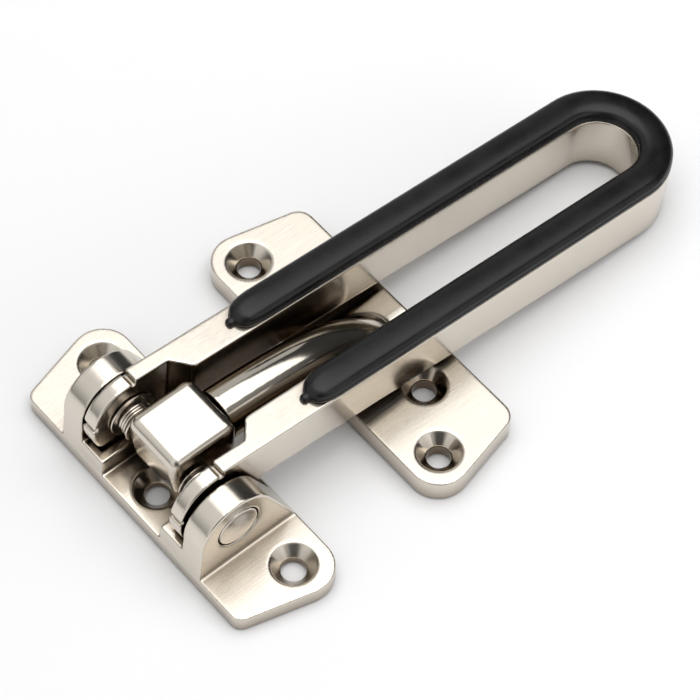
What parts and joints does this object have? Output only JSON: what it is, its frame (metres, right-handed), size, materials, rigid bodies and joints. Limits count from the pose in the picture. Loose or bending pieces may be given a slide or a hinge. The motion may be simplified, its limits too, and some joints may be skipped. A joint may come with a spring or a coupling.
{
  "type": "swing bar door guard",
  "caption": "Swing-bar door guard: a slotted U-bar hinged in a base plate closes over a cube-headed gooseneck on a second plate.",
  "frame": {"origin": "middle of the guard's length and width, on the plane of the two mounting faces", "axes": "+X from the hinge to the bar's round end, +Y along the hinge pins, +Z away from the door"},
  "size_m": [0.1386, 0.0756, 0.0244],
  "materials": {
    "satin_nickel": "satin",
    "steel": "polished",
    "black_rubber": "satin"
  },
  "bodies": {
    "fixed": {"hinge_base": "satin_nickel", "knob_plate": "satin_nickel", "cube_head": "satin_nickel", "hinge_pin_left": "steel", "hinge_pin_right": "steel", "pin_retainer_left": "steel", "pin_retainer_right": "steel", "coil_spring_left": "steel", "coil_spring_right": "steel", "thrust_washer_left": "steel", "thrust_washer_right": "steel"},
    "bar": {"swing_bar": "satin_nickel", "bumper_strip": "black_rubber"}
  },
  "joints": [
    {"name": "bar_swing", "type": "hinge", "parent": "fixed", "child": "bar", "pos_m": [-0.05918, 0, 0.0137], "axis": [0, -1, 0], "range_deg": [0, 132]}
  ]
}
